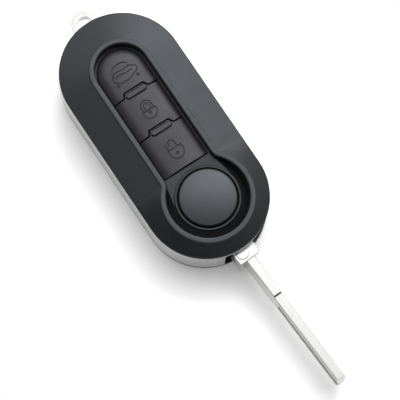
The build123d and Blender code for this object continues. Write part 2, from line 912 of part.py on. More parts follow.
def roll_pin_bore():
    """Cross hole through the head and the blade's root."""
    place = Pos(-blade_offset, roll_pin_y, swing_mid_z) * Rot(0, 90, 0)
    return place * Cylinder(roll_pin_radius, 2 * head_half)


def key_blade():
    """Uncut steel blade: shank, stepped blade with a milled waist, and tip."""
    side = make_face(
        Polyline(
            (-head_reach, blade_low_z),
            (-head_reach, blade_top_z),
            (-blade_step, blade_top_z),
            (-blade_step - step_top / 2, blade_top_z - step_top),
            (-blade_tip + tip_bevel, blade_top_z - step_top),
            (-blade_tip, blade_top_z - step_top - tip_slope),
            (-blade_tip, blade_low_z + step_bottom + tip_slope),
            (-blade_tip + tip_bevel, blade_low_z + step_bottom),
            (-blade_step - step_bottom / 2, blade_low_z + step_bottom),
            (-blade_step, blade_low_z),
            close=True,
        )
    )
    upright = Plane(
        origin=(-blade_offset - blade_thick / 2, 0, 0), x_dir=(0, 1, 0), z_dir=(1, 0, 0)
    )
    blade = extrude(upright * side, blade_thick)
    ends = blade.edges().filter_by(Axis.Z).group_by(Axis.Y)[0]
    blade = chamfer(ends, tip_corner)
    blade = chamfer(blade.edges().filter_by(Axis.Y), edge_break)
    mid = (blade_low_z + step_bottom + blade_top_z - step_top) / 2
    for edge_x in (-1, 1):
        face_x = -blade_offset + edge_x * blade_thick / 2
        cut = block(
            face_x - waist_depth, face_x + waist_depth, -blade_tip - cut_over, -waist_start,
            mid - waist_height / 2, mid + waist_height / 2,
        )
        blade -= cut
    return blade_place() * (blade + tang() - roll_pin_bore())


def blade_roll_pin():
    """Slit spring pin across the head that holds the blade's root."""
    length = 2 * (head_half - roll_pin_inset)
    wall = Circle(roll_pin_radius) - Circle(roll_pin_radius - roll_pin_wall)
    wall -= Pos(roll_pin_radius, 0) * Rectangle(2 * roll_pin_radius, roll_pin_slit)
    start = (-blade_offset - length / 2, roll_pin_y, swing_mid_z)
    plane = Plane(origin=start, x_dir=(0, 0, -1), z_dir=(1, 0, 0))
    return blade_place() * extrude(plane * wall, length)


def pivot_pin():
    return post(pivot_x, pivot_y, pivot_radius, rear_floor, deck_top_z)


def flip_spring():
    """Torsion coil round the pivot pin, inside the drum."""
    low = head_low_z + drum_floor + flip_seat
    high = low + flip_turns * flip_pitch + flip_wire
    body = coil(pivot_x, pivot_y, flip_radius, flip_wire, flip_turns, low, high)
    leg = Pos(pivot_x + flip_radius, pivot_y) * Rectangle(flip_wire, flip_wire)
    body += prism(leg, high - flip_wire, deck_top_z)
    return body


def chassis_screws():
    """Three pan-head screws, up through the deck into the front cover."""
    low = deck_z - screw_head_thick
    screw = post(0, 0, screw_head_radius, low, deck_z)
    screw += post(0, 0, screw_radius, deck_z, deck_z + screw_length)
    for across, along in ((cross_half, cross_reach), (cross_reach, cross_half)):
        screw -= block(-across, across, -along, along, low, low + cross_depth)
    return Compound(children=[Pos(x, y) * screw for x, y in screw_places()])


def write_parts():
    pieces = {
        "front_cover": front_cover(),
        "silver_frame": silver_frame(),
        "rear_cover": rear_cover(),
        "inner_chassis": inner_chassis(),
        "keypad_mat": keypad_mat(),
        "unlock_button": button_cap(0),
        "lock_button": button_cap(1),
        "trunk_button": button_cap(2),
        "release_collar": release_collar(),
        "release_button": release_button(),
        "release_spring": release_spring(),
        "blade_carrier": blade_carrier(),
        "key_blade": key_blade(),
        "blade_roll_pin": blade_roll_pin(),
        "pivot_pin": pivot_pin(),
        "flip_spring": flip_spring(),
        "battery_drawer": battery_drawer(),
        "drawer_lock_screw": drawer_lock_screw(),
        "battery_contact_positive": battery_contact_positive(),
        "battery_contact_negative": battery_contact_negative(),
        "chassis_screws": chassis_screws(),
    }
    os.makedirs("parts", exist_ok=True)
    for name, piece in pieces.items():
        export_step(piece, f"parts/{name}.step")


write_parts()
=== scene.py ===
import json
import math

import bmesh
import bpy
import numpy as np
from mathutils import Matrix, Vector


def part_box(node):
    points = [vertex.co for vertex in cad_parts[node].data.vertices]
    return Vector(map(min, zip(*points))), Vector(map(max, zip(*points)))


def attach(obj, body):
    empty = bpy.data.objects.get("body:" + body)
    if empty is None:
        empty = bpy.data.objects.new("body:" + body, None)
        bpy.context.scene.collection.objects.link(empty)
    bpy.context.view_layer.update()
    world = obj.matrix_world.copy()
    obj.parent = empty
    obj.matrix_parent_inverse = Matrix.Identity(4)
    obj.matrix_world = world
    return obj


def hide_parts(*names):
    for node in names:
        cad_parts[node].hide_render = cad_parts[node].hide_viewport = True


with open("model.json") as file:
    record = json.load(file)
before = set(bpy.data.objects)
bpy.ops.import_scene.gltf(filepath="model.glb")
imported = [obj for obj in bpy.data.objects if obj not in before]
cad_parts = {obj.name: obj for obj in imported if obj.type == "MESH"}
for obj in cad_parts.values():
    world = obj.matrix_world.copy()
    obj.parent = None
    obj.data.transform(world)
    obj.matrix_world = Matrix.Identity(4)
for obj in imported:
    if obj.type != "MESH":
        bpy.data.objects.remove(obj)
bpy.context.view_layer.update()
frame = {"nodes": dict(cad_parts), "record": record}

# Looks of a flip key fob shell: satin black covers, silver band, crowned push
# buttons with engraved signs, domed release button, plated head and steel blade.
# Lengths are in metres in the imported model's frame. Only the points of the signs
# are in millimetres, and even() turns them into metres.
MM = 0.001
slots = {row["node"]: row["material_slot"] for row in frame["record"]["subparts"]}

# Camera over the fob: its place, its azimuth and height as seen from the fob, its
# roll, and its lens and sensor in millimetres
CAMERA_PLACE = Vector((-80.0, -120.44, 551.27)) * MM
CAMERA_AZIMUTH = math.radians(-37.946)
CAMERA_ELEVATION = math.radians(76.697)
CAMERA_ROLL = math.radians(4.571)
CAMERA_LENS = 188.737
CAMERA_SENSOR = 36.0
CAMERA_CLIP = 0.01

# Softboxes: azimuth clockwise from the picture's top and height above the floor
# in degrees, then distance, width and depth in metres, and power in watts
SOFTBOXES = {
    "key_softbox": (10.0, 46.0, 0.75, 0.5, 0.5, 2.8),
    "overhead_softbox": (10.0, 78.0, 0.75, 0.8, 0.8, 1.9),
    "high_left_softbox": (318.0, 64.0, 0.75, 0.5, 0.5, 1.1),
    "high_right_softbox": (47.0, 64.0, 0.75, 0.5, 0.5, 0.9),
    "left_fill": (310.0, 45.0, 0.75, 0.5, 0.5, 0.5),
    "right_fill": (60.0, 45.0, 0.75, 0.5, 0.5, 0.4),
    "low_strip": (20.0, 34.0, 0.75, 0.5, 0.3, 0.3),
}

# Room: its dim light, and how high mirrored white reaches above the horizon, as
# the sine of the height
ROOM_STRENGTH = 0.04
HORIZON_RISE = 0.32

# Floor: half its side, the grey that it lights the fob with, and the colour and
# glow that are seen. Round a line under the fob, given by its two ends along Y,
# it keeps the shadow up to one distance and is plain white from the other
FLOOR_HALF = 1.5
PAPER_GREY = 0.8
PAPER_WHITE = 1.2
PAPER_GLOW = 0.2
SHADOW_LINE = (-70.0 * MM, 24.0 * MM)
SHADOW_REACH = 26.0 * MM
FAR_WHITE = 60.0 * MM

# Crowned tops of the push buttons: height of the middle line, radius of the crown
# across the fob, and the place along the fob where the round end starts
CAP_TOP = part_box("trunk_button")[1][2]
CAP_CROWN_RADIUS = 30.0 * MM
CAP_ROUND_END = 20.1 * MM

# Engraved lines: radius and sides of the tube that cuts them, and how far round
# the nose of an open end goes, as a share of the radius
ENGRAVED_RADIUS = 0.17 * MM
TUBE_SIDES = 10
NOSE_REACH = 0.98

# Lines of the signs: distance and least number of their even steps, rounds of
# easing their corners, points of an arc, and the last angle of a ring's own points
LINE_SPACING = 0.1 * MM
FEWEST_STEPS = 8
EASING_ROUNDS = 2
ARC_POINTS = 24
RING_END = 345.0

# Forms of the signs, in millimetres: radius of a wheel or keyhole, half the width
# of a padlock, and how far its keyhole is below the start of its round
DOT_RADIUS = 0.32
PADLOCK_HALF = 2.0
KEYHOLE_DROP = 0.4

# Carved meshes: merging distance, and the angle from which an edge stays sharp
WELD_DISTANCE = 2e-6
CREASE_ANGLE = math.radians(25.0)

# Finishes: turn of the blade's milling lines, size of the handled patches, and
# how finely the rounding of an edge is looked up
BLADE_TILT = math.radians(3.2)
SHEEN_SCALE = 150.0
BEVEL_SAMPLES = 8
UNSTRETCHED = (1.0, 1.0, 1.0)
WHITE = (1.0, 1.0, 1.0)


def level_right():
    """Level unit vector to the picture's right, before the camera's roll."""
    return Vector((math.cos(CAMERA_AZIMUTH), math.sin(CAMERA_AZIMUTH), 0.0))


def camera_axes():
    """Unit vectors to the picture's right, to its top and towards the camera."""
    level = math.cos(CAMERA_ELEVATION)
    back = Vector((
        math.sin(CAMERA_AZIMUTH) * level,
        -math.cos(CAMERA_AZIMUTH) * level,
        math.sin(CAMERA_ELEVATION),
    ))
    flat_right = level_right()
    flat_up = back.cross(flat_right)
    turn = CAMERA_ROLL
    right = flat_right * math.cos(turn) + flat_up * math.sin(turn)
    up = flat_up * math.cos(turn) - flat_right * math.sin(turn)
    return right, up, back


def place_camera():
    """Camera at the photograph's angle and distance."""
    right, up, back = camera_axes()
    data = bpy.data.cameras.new("camera")
    data.lens = CAMERA_LENS
    data.sensor_width = CAMERA_SENSOR
    data.clip_start = CAMERA_CLIP
    camera = bpy.data.objects.new("camera", data)
    bpy.context.scene.collection.objects.link(camera)
    turn = Matrix((right, up, back)).transposed().to_4x4()
    camera.matrix_world = Matrix.Translation(CAMERA_PLACE) @ turn
    bpy.context.scene.camera = camera


def towards(azimuth, height):
    """Direction from the fob: clockwise from the picture's top, then up from the floor."""
    flat_right = level_right()
    flat_top = Vector((-flat_right.y, flat_right.x, 0.0))
    flat = flat_top * math.cos(azimuth) + flat_right * math.sin(azimuth)
    return flat * math.cos(height) + Vector((0.0, 0.0, math.sin(height)))


def light_fob():
    """Softboxes that face the fob."""
    for name, (azimuth, height, distance, width, depth, power) in SOFTBOXES.items():
        data = bpy.data.lights.new(name, "AREA")
        data.shape = "RECTANGLE"
        data.size = width
        data.size_y = depth
        data.energy = power
        lamp = bpy.data.objects.new(name, data)
        bpy.context.scene.collection.objects.link(lamp)
        direction = towards(math.radians(azimuth), math.radians(height))
        lamp.rotation_euler = direction.to_track_quat("Z", "Y").to_euler()
        lamp.location = direction * distance


def put(tree, kind, values=None, **settings):
    """Adds a node, with its settings and the values of its inputs by name or number."""
    node = tree.nodes.new(kind)
    for name, value in settings.items():
        setattr(node, name, value)
    for name, value in (values or {}).items():
        node.inputs[name].default_value = value
    return node


def times(tree, factor):
    """Math node that multiplies what comes into its first input by a factor."""
    return put(tree, "ShaderNodeMath", {1: factor}, operation="MULTIPLY")


def white_for_rays(tree):
    """Two values: 1 for camera rays, and 1 for camera, glossy and transmission rays."""
    link = tree.links.new
    path = put(tree, "ShaderNodeLightPath")
    mirrored = put(tree, "ShaderNodeMath", operation="MAXIMUM")
    seen = put(tree, "ShaderNodeMath", operation="MAXIMUM")
    link(path.outputs["Is Glossy Ray"], mirrored.inputs[0])
    link(path.outputs["Is Transmission Ray"], mirrored.inputs[1])
    link(path.outputs["Is Camera Ray"], seen.inputs[0])
    link(mirrored.outputs[0], seen.inputs[1])
    return path.outputs["Is Camera Ray"], seen.outputs[0]


def paint_room():
    """World: white behind the fob, white near the horizon in reflections, dim above."""
    world = bpy.data.worlds.new("room")
    bpy.context.scene.world = world
    world.use_nodes = True
    tree = world.node_tree
    tree.nodes.clear()
    link = tree.links.new
    out = put(tree, "ShaderNodeOutputWorld")
    dim = put(tree, "ShaderNodeBackground", {"Color": (*WHITE, 1.0), "Strength": ROOM_STRENGTH})
    white = put(tree, "ShaderNodeBackground", {"Color": (*WHITE, 1.0), "Strength": 1.0})
    camera_ray, seen = white_for_rays(tree)
    place = put(tree, "ShaderNodeTexCoord")
    axes = put(tree, "ShaderNodeSeparateXYZ")
    low = put(tree, "ShaderNodeMapRange", {"From Max": HORIZON_RISE, "To Min": 1.0, "To Max": 0.0})
    mirrored = put(tree, "ShaderNodeMath", operation="MULTIPLY")
    shown = put(tree, "ShaderNodeMath", operation="MAXIMUM")
    mix = put(tree, "ShaderNodeMixShader")
    link(place.outputs["Generated"], axes.inputs[0])
    link(axes.outputs["Z"], low.inputs["Value"])
    link(seen, mirrored.inputs[0])
    link(low.outputs[0], mirrored.inputs[1])
    link(camera_ray, shown.inputs[0])
    link(mirrored.outputs[0], shown.inputs[1])
    link(shown.outputs[0], mix.inputs["Fac"])
    link(dim.outputs[0], mix.inputs[1])
    link(white.outputs[0], mix.inputs[2])
    link(mix.outputs[0], out.inputs["Surface"])


def far_from_line(tree):
    """Value that rises from 0 beside the line under the fob to 1 far away from it.

    The distance is the length of (x, y - y held between the line's ends), which
    goes over smoothly from the shadow's reach to where the floor is plain white.
    """
    link = tree.links.new
    ends = {"Min": SHADOW_LINE[0], "Max": SHADOW_LINE[1]}
    reach = {"From Min": SHADOW_REACH, "From Max": FAR_WHITE}
    place = put(tree, "ShaderNodeTexCoord")
    axes = put(tree, "ShaderNodeSeparateXYZ")
    beside = put(tree, "ShaderNodeClamp", ends)
    past = put(tree, "ShaderNodeMath", operation="SUBTRACT")
    gap = put(tree, "ShaderNodeCombineXYZ")
    away = put(tree, "ShaderNodeVectorMath", operation="LENGTH")
    far = put(tree, "ShaderNodeMapRange", reach, interpolation_type="SMOOTHSTEP")
    link(place.outputs["Object"], axes.inputs[0])
    link(axes.outputs["Y"], beside.inputs["Value"])
    link(axes.outputs["Y"], past.inputs[0])
    link(beside.outputs[0], past.inputs[1])
    link(axes.outputs["X"], gap.inputs["X"])
    link(past.outputs[0], gap.inputs["Y"])
    link(gap.outputs[0], away.inputs[0])
    link(away.outputs["Value"], far.inputs["Value"])
    return far.outputs[0]


def white_paper():
    """Floor's material: pale grey for the light it gives, white where it is seen.

    Near the fob the white takes the light and the shadow, and further out it goes
    over to plain white, so that the sheet has no grey rim in low views.
    """
    material = bpy.data.materials.new("white_paper")
    material.use_nodes = True
    tree = material.node_tree
    tree.nodes.clear()
    link = tree.links.new
    out = put(tree, "ShaderNodeOutputMaterial")
    grey = put(tree, "ShaderNodeBsdfDiffuse", {"Color": (PAPER_GREY,) * 3 + (1.0,)})
    white = put(tree, "ShaderNodeBsdfDiffuse", {"Color": (PAPER_WHITE,) * 3 + (1.0,)})
    glow = put(tree, "ShaderNodeEmission", {"Strength": PAPER_GLOW})
    near = put(tree, "ShaderNodeAddShader")
    plain = put(tree, "ShaderNodeEmission", {"Strength": 1.0})
    shown = put(tree, "ShaderNodeMixShader")
    mix = put(tree, "ShaderNodeMixShader")
    link(white.outputs[0], near.inputs[0])
    link(glow.outputs[0], near.inputs[1])
    link(far_from_line(tree), shown.inputs["Fac"])
    link(near.outputs[0], shown.inputs[1])
    link(plain.outputs[0], shown.inputs[2])
    link(white_for_rays(tree)[1], mix.inputs["Fac"])
    link(grey.outputs[0], mix.inputs[1])
    link(shown.outputs[0], mix.inputs[2])
    link(mix.outputs[0], out.inputs["Surface"])
    return material


def lay_floor():
    """Plain square sheet of paper under the fob."""
    half = FLOOR_HALF
    mesh = bpy.data.meshes.new("floor")
    corners = [(-half, -half, 0), (half, -half, 0), (half, half, 0), (-half, half, 0)]
    mesh.from_pydata(corners, [], [(0, 1, 2, 3)])
    mesh.materials.append(white_paper())
    floor = bpy.data.objects.new("floor", mesh)
    bpy.context.scene.collection.objects.link(floor)


def effect(name, inputs, outputs):
    """Shader node group with named sockets; gives its tree, its input and its output node."""
    tree = bpy.data.node_groups.new(name, "ShaderNodeTree")
    kinds = {"V": "NodeSocketVector", "F": "NodeSocketFloat", "C": "NodeSocketColor"}
    for direction, sockets in (("INPUT", inputs), ("OUTPUT", outputs)):
        for socket, kind in sockets.items():
            tree.interface.new_socket(name=socket, in_out=direction, socket_type=kinds[kind])
    return tree, put(tree, "NodeGroupInput"), put(tree, "NodeGroupOutput")


def make_moulded_grain():
    """Spark-eroded mould texture: soft cells and finer noise; specks are broader noise."""
    tree, given, out = effect(
        "moulded_grain", {"Point": "V", "Scale": "F"}, {"Height": "F", "Speck": "F"}
    )
    link = tree.links.new
    fine = put(tree, "ShaderNodeTexNoise", {"Detail": 3.0, "Roughness": 0.6})
    cells = put(tree, "ShaderNodeTexVoronoi", {"Smoothness": 0.6}, feature="SMOOTH_F1")
    coarse_scale = times(tree, 0.6)
    speck_scale = times(tree, 0.11)
    both = put(tree, "ShaderNodeMath", operation="ADD")
    specks = put(tree, "ShaderNodeTexNoise", {"Detail": 4.0, "Roughness": 0.55})
    spread = put(tree, "ShaderNodeMapRange", {"From Min": 0.35, "From Max": 0.65})
    link(given.outputs["Scale"], fine.inputs["Scale"])
    link(given.outputs["Scale"], coarse_scale.inputs[0])
    link(given.outputs["Scale"], speck_scale.inputs[0])
    link(coarse_scale.outputs[0], cells.inputs["Scale"])
    link(speck_scale.outputs[0], specks.inputs["Scale"])
    for texture in (fine, cells, specks):
        link(given.outputs["Point"], texture.inputs["Vector"])
    link(fine.outputs["Fac"], both.inputs[0])
    link(cells.outputs["Distance"], both.inputs[1])
    link(specks.outputs["Fac"], spread.inputs["Value"])
    link(both.outputs[0], out.inputs["Height"])
    link(spread.outputs[0], out.inputs["Speck"])
    return tree


def make_drawn_lines():
    """Fine lines left by brushing, milling or drawing; the point comes in already stretched."""
    tree, given, out = effect(
        "drawn_lines", {"Point": "V", "Scale": "F"}, {"Height": "F", "Speck": "F"}
    )
    link = tree.links.new
    lines = put(tree, "ShaderNodeTexNoise", {"Detail": 4.0, "Roughness": 0.65})
    broad_scale = times(tree, 0.15)
    broad = put(tree, "ShaderNodeTexNoise", {"Detail": 2.0, "Roughness": 0.5})
    spread = put(tree, "ShaderNodeMapRange", {"From Min": 0.3, "From Max": 0.7})
    link(given.outputs["Scale"], lines.inputs["Scale"])
    link(given.outputs["Scale"], broad_scale.inputs[0])
    link(broad_scale.outputs[0], broad.inputs["Scale"])
    for texture in (lines, broad):
        link(given.outputs["Point"], texture.inputs["Vector"])
    link(broad.outputs["Fac"], spread.inputs["Value"])
    link(lines.outputs["Fac"], out.inputs["Height"])
    link(spread.outputs[0], out.inputs["Speck"])
    return tree


def make_handled_sheen():
    """Broad soft patches, as from handling, that move the roughness from low to high."""
    tree, given, out = effect(
        "handled_sheen", {"Point": "V", "Scale": "F", "Low": "F", "High": "F"}, {"Roughness": "F"}
    )
    link = tree.links.new
    patches = put(
        tree, "ShaderNodeTexNoise", {"Detail": 5.0, "Roughness": 0.55, "Distortion": 0.6}
    )
    spread = put(tree, "ShaderNodeMapRange", {"From Min": 0.32, "From Max": 0.68})
    between = put(tree, "ShaderNodeMapRange")
    link(given.outputs["Point"], patches.inputs["Vector"])
    link(given.outputs["Scale"], patches.inputs["Scale"])
    link(patches.outputs["Fac"], spread.inputs["Value"])
    link(spread.outputs[0], between.inputs["Value"])
    link(given.outputs["Low"], between.inputs["To Min"])
    link(given.outputs["High"], between.inputs["To Max"])
    link(between.outputs[0], out.inputs["Roughness"])
    return tree


def make_rounded_edge_highlight():
    """Rounds the normal over an edge; the painted edge highlight is where that turns it from the
    face's own normal.
    """
    tree, given, out = effect(
        "rounded_edge_highlight", {"Radius": "F", "Gain": "F"}, {"Normal": "V", "Edge_Highlight": "F"}
    )
    link = tree.links.new
    rounded = put(tree, "ShaderNodeBevel", samples=BEVEL_SAMPLES)
    face = put(tree, "ShaderNodeNewGeometry")
    likeness = put(tree, "ShaderNodeVectorMath", operation="DOT_PRODUCT")
    turned = put(tree, "ShaderNodeMath", {0: 1.0}, operation="SUBTRACT")
    lit_edge = put(tree, "ShaderNodeMath", operation="MULTIPLY", use_clamp=True)
    link(given.outputs["Radius"], rounded.inputs["Radius"])
    link(rounded.outputs["Normal"], likeness.inputs[0])
    link(face.outputs["Normal"], likeness.inputs[1])
    link(likeness.outputs["Value"], turned.inputs[1])
    link(turned.outputs[0], lit_edge.inputs[0])
    link(given.outputs["Gain"], lit_edge.inputs[1])
    link(rounded.outputs["Normal"], out.inputs["Normal"])
    link(lit_edge.outputs[0], out.inputs["Edge_Highlight"])
    return tree


def make_painted_facing_tone():
    """Painted shade and light by facing: faces that look along the object's Z axis get weaker
    specks and are painted darker; sides are painted pale.
    """
    tree, given, out = effect("painted_facing_tone", {"Speck": "F"}, {"Speck": "F"})
    link = tree.links.new
    place = put(tree, "ShaderNodeTexCoord")
    axes = put(tree, "ShaderNodeSeparateXYZ")
    level = put(tree, "ShaderNodeMath", operation="ABSOLUTE")
    side = put(tree, "ShaderNodeMapRange", {"From Min": 0.9, "From Max": 0.5})
    kept = times(tree, 0.3)
    either = put(tree, "ShaderNodeMath", operation="MAXIMUM")
    link(place.outputs["Normal"], axes.inputs[0])
    link(axes.outputs["Z"], level.inputs[0])
    link(level.outputs[0], side.inputs["Value"])
    link(given.outputs["Speck"], kept.inputs[0])
    link(kept.outputs[0], either.inputs[0])
    link(side.outputs[0], either.inputs[1])
    link(either.outputs[0], out.inputs["Speck"])
    return tree


def make_tone_blend():
    """Colour between a dark and a pale tone by the specks, and towards a lighter edge-lit tone by
    the painted edge highlight.
    """
    tree, given, out = effect(
        "tone_blend",
        {"Dark": "C", "Pale": "C", "Edge_Lit": "C", "Speck": "F", "Edge_Highlight": "F"},
        {"Color": "C"},
    )
    link = tree.links.new
    body = put(tree, "ShaderNodeMix", data_type="RGBA")
    highlighted = put(tree, "ShaderNodeMix", data_type="RGBA")
    factor, first, second, result = 0, 6, 7, 2
    link(given.outputs["Speck"], body.inputs[factor])
    link(given.outputs["Dark"], body.inputs[first])
    link(given.outputs["Pale"], body.inputs[second])
    link(given.outputs["Edge_Highlight"], highlighted.inputs[factor])
    link(body.outputs[result], highlighted.inputs[first])
    link(given.outputs["Edge_Lit"], highlighted.inputs[second])
    link(highlighted.outputs[result], out.inputs["Color"])
    return tree


def use(tree, group, **values):
    """Places an effect in a material with its own values."""
    node = put(tree, "ShaderNodeGroup", node_tree=group)
    for name, value in values.items():
        node.inputs[name].default_value = value
    return node


def finish(name, look):
    """Material of one finish: surface texture, sheen, rounded edges with a painted edge highlight,
    and tones.

    Without their own values, a finish isn't stretched, turned, given painted
    facing tone, metal or tinted, and has the refraction of common plastic.
    """
    material = bpy.data.materials.new(name)
    material.use_nodes = True
    tree = material.node_tree
    link = tree.links.new
    shader = tree.nodes["Principled BSDF"]
    place = put(tree, "ShaderNodeTexCoord")
    lie = {"Scale": look.get("stretch", UNSTRETCHED), "Rotation": (0.0, 0.0, look.get("turn", 0.0))}
    stretch = put(tree, "ShaderNodeMapping", lie, vector_type="TEXTURE")
    texture = use(tree, effects[look["texture"]], Scale=look["scale"])
    sheen = use(
        tree, effects["handled_sheen"], Scale=SHEEN_SCALE, Low=look["low"], High=look["high"]
    )
    edge = use(tree, effects["rounded_edge_highlight"], Radius=look["radius"], Gain=look["gain"])
    tones = use(tree, effects["tone_blend"])
    for socket in ("Dark", "Pale", "Edge_Lit"):
        tones.inputs[socket].default_value = (*look[socket.lower()], 1.0)
    bump = put(tree, "ShaderNodeBump", {"Strength": 1.0, "Distance": look["relief"]})
    link(place.outputs["Object"], stretch.inputs["Vector"])
    link(stretch.outputs[0], texture.inputs["Point"])
    link(place.outputs["Object"], sheen.inputs["Point"])
    # Painted facing tone: top faces painted darker, sides painted paler, as painted shade and light
    if look.get("painted_facing"):
        facing_tone = use(tree, effects["painted_facing_tone"])
        link(texture.outputs["Speck"], facing_tone.inputs["Speck"])
        link(facing_tone.outputs["Speck"], tones.inputs["Speck"])
    else:
        link(texture.outputs["Speck"], tones.inputs["Speck"])
    # Painted edge highlight: edges are lightened towards the edge-lit colour
    link(edge.outputs["Edge_Highlight"], tones.inputs["Edge_Highlight"])
    link(texture.outputs["Height"], bump.inputs["Height"])
    link(edge.outputs["Normal"], bump.inputs["Normal"])
    link(tones.outputs["Color"], shader.inputs["Base Color"])
    link(sheen.outputs["Roughness"], shader.inputs["Roughness"])
    link(bump.outputs[0], shader.inputs["Normal"])
    shader.inputs["Metallic"].default_value = look.get("metallic", 0.0)
    shader.inputs["IOR"].default_value = look.get("ior", 1.5)
    shader.inputs["Specular Tint"].default_value = (*look.get("tint", WHITE), 1.0)
    return material


def dress(node, material):
    """Gives a carried-over CAD node its material."""
    data = frame["nodes"][node].data
    data.materials.clear()
    data.materials.append(material)


def arc(centre, radius, start, end):
    """Points on a circle's arc, from one angle to another in degrees."""
    angle = np.radians(np.linspace(start, end, ARC_POINTS))
    return np.stack([centre[0] + radius * np.cos(angle), centre[1] + radius * np.sin(angle)], 1)


def ring(centre, radius):
    """Small circle, whose last step a closed line adds."""
    return arc(centre, radius, 0.0, RING_END)


def even(points, closed):
    """The same line in metres, with its corners eased, in even steps along its length.

    Each round of easing moves a point halfway to the mean of its two neighbours.
    """
    line = np.vstack([points, points[:1]]) if closed else points
    steps = np.linalg.norm(np.diff(line, axis=0), axis=1)
    along = np.concatenate([[0.0], np.cumsum(steps)])
    count = max(FEWEST_STEPS, int(along[-1] * MM / LINE_SPACING))
    at = np.linspace(0.0, along[-1], count + 1)
    if closed:
        at = at[:-1]
    line = np.stack([np.interp(at, along, line[:, 0]), np.interp(at, along, line[:, 1])], 1)
    for _ in range(EASING_ROUNDS):
        if closed:
            line = (np.roll(line, 1, 0) + 2 * line + np.roll(line, -1, 0)) / 4
        else:
            line[1:-1] = (line[:-2] + 2 * line[1:-1] + line[2:]) / 4
    return line * MM


def engraving_tube(points, closed):
    """Round tube along a line on a crowned cap top, to cut the line's groove with.

    A point is the line's point on the crown, plus the tube's radius times the
    cosine of an angle across the line in plan, plus the radius times its sine
    upwards. Within one radius of an open end the radius falls as a circle's
    half-chord does, so that the end closes in a round nose. The crown's height is
    that of a circle's arc at the distance from the fob's middle line or, past the
    start of the round end, from the round's centre.
    """
    line = even(points, closed)
    count = len(line)
    if closed:
        run = np.roll(line, -1, 0) - np.roll(line, 1, 0)
        shrink = np.ones(count)
    else:
        run = np.gradient(line, axis=0)
        reach = np.linalg.norm(line - line[0], axis=1)
        back = np.linalg.norm(line - line[-1], axis=1)
        near = np.clip(1 - np.minimum(reach, back) / ENGRAVED_RADIUS, 0, NOSE_REACH)
        shrink = np.sqrt(1 - near ** 2)
    run /= np.linalg.norm(run, axis=1)[:, None]
    across = np.stack([-run[:, 1], run[:, 0]], 1)
    angle = np.linspace(0, 2 * np.pi, TUBE_SIDES, endpoint=False)
    radius = ENGRAVED_RADIUS * shrink[:, None]
    plan = line[:, None, :] + across[:, None, :] * (radius * np.cos(angle))[:, :, None]
    away = np.hypot(line[:, 0], np.maximum(line[:, 1] - CAP_ROUND_END, 0))
    middle = CAP_TOP - CAP_CROWN_RADIUS + np.sqrt(CAP_CROWN_RADIUS ** 2 - away ** 2)
    height = middle[:, None] + radius * np.sin(angle)
    verts = np.concatenate([plan, height[:, :, None]], 2).reshape(-1, 3)
    rings = np.arange(count if closed else count - 1)
    row, side = np.meshgrid(rings, np.arange(TUBE_SIDES), indexing="ij")
    ahead = (row + 1) % count
    turn = (side + 1) % TUBE_SIDES
    faces = np.stack([
        row * TUBE_SIDES + side, ahead * TUBE_SIDES + side,
        ahead * TUBE_SIDES + turn, row * TUBE_SIDES + turn,
    ], -1).reshape(-1, 4).tolist()
    if not closed:
        last = (count - 1) * TUBE_SIDES
        faces += [list(range(TUBE_SIDES)), list(range(last, last + TUBE_SIDES))]
    mesh = bpy.data.meshes.new("engraving_tube")
    mesh.from_pydata(verts.tolist(), [], faces)
    shape = bmesh.new()
    shape.from_mesh(mesh)
    bmesh.ops.recalc_face_normals(shape, faces=shape.faces)
    shape.to_mesh(mesh)
    shape.free()
    return mesh


def welded_copy(node, name):
    """Copy of a CAD node's mesh with its doubles merged."""
    shape = bmesh.new()
    shape.from_mesh(frame["nodes"][node].data)
    bmesh.ops.remove_doubles(shape, verts=shape.verts, dist=WELD_DISTANCE)
    mesh = bpy.data.meshes.new(name)
    shape.to_mesh(mesh)
    shape.free()
    for old in [a.name for a in mesh.attributes if a.name in ("custom_normal", "sharp_edge")]:
        mesh.attributes.remove(mesh.attributes[old])
    return mesh


def engraved_button(node, sign, material):
    """Push button with the lines of its sign cut into its crowned top, one by one."""
    name = node + "_engraved"
    piece = bpy.data.objects.new(name, welded_copy(node, name))
    bpy.context.scene.collection.objects.link(piece)
    for points, closed in sign:
        tube = engraving_tube(points, closed)
        cutter = bpy.data.objects.new("cutter", tube)
        bpy.context.scene.collection.objects.link(cutter)
        cut = piece.modifiers.new("groove", "BOOLEAN")
        cut.object = cutter
        cut.solver = "MANIFOLD"
        shown = piece.evaluated_get(bpy.context.evaluated_depsgraph_get())
        carved = bpy.data.meshes.new_from_object(shown)
        piece.modifiers.clear()
        bpy.data.objects.remove(cutter)
        bpy.data.meshes.remove(tube)
        piece.data = carved
    mesh = piece.data
    mesh.name = name
    mesh.polygons.foreach_set("use_smooth", np.ones(len(mesh.polygons), bool))
    mesh.set_sharp_from_angle(angle=CREASE_ANGLE)
    mesh.materials.clear()
    mesh.materials.append(material)
    weighted = piece.modifiers.new("flat_faces", "WEIGHTED_NORMAL")
    weighted.keep_sharp = True
    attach(piece, body_of(node))
    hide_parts(node)


def body_of(node):
    """Name of the body that a node belongs to."""
    bodies = frame["record"]["behaviour"]["bodies"]
    return next(name for name, members in bodies.items() if node in members)


def car_sign():
    """Small car seen from behind, with its boot lid raised and two wheels."""
    outline = np.array([
        (-3.55, 19.3), (-2.75, 20.4), (-1.95, 20.65), (0.25, 20.4), (2.2, 20.7), (3.95, 19.6),
        (3.95, 18.85), (3.15, 18.25), (2.25, 17.95), (0.95, 17.35), (-0.1, 17.2), (-2.0, 17.3),
        (-3.45, 18.4),
    ])
    window = np.array([(-2.7, 19.3), (-1.2, 19.5), (0.6, 19.2), (2.6, 19.4)])
    lid = np.array([(-2.7, 21.2), (-1.9, 22.1), (-0.4, 22.5), (1.2, 22.3), (2.3, 21.5)])
    wheels = [ring((-3.1, 17.05), DOT_RADIUS), ring((3.05, 17.15), DOT_RADIUS)]
    return [(outline, True), (window, False), (lid, False)] + [(wheel, True) for wheel in wheels]


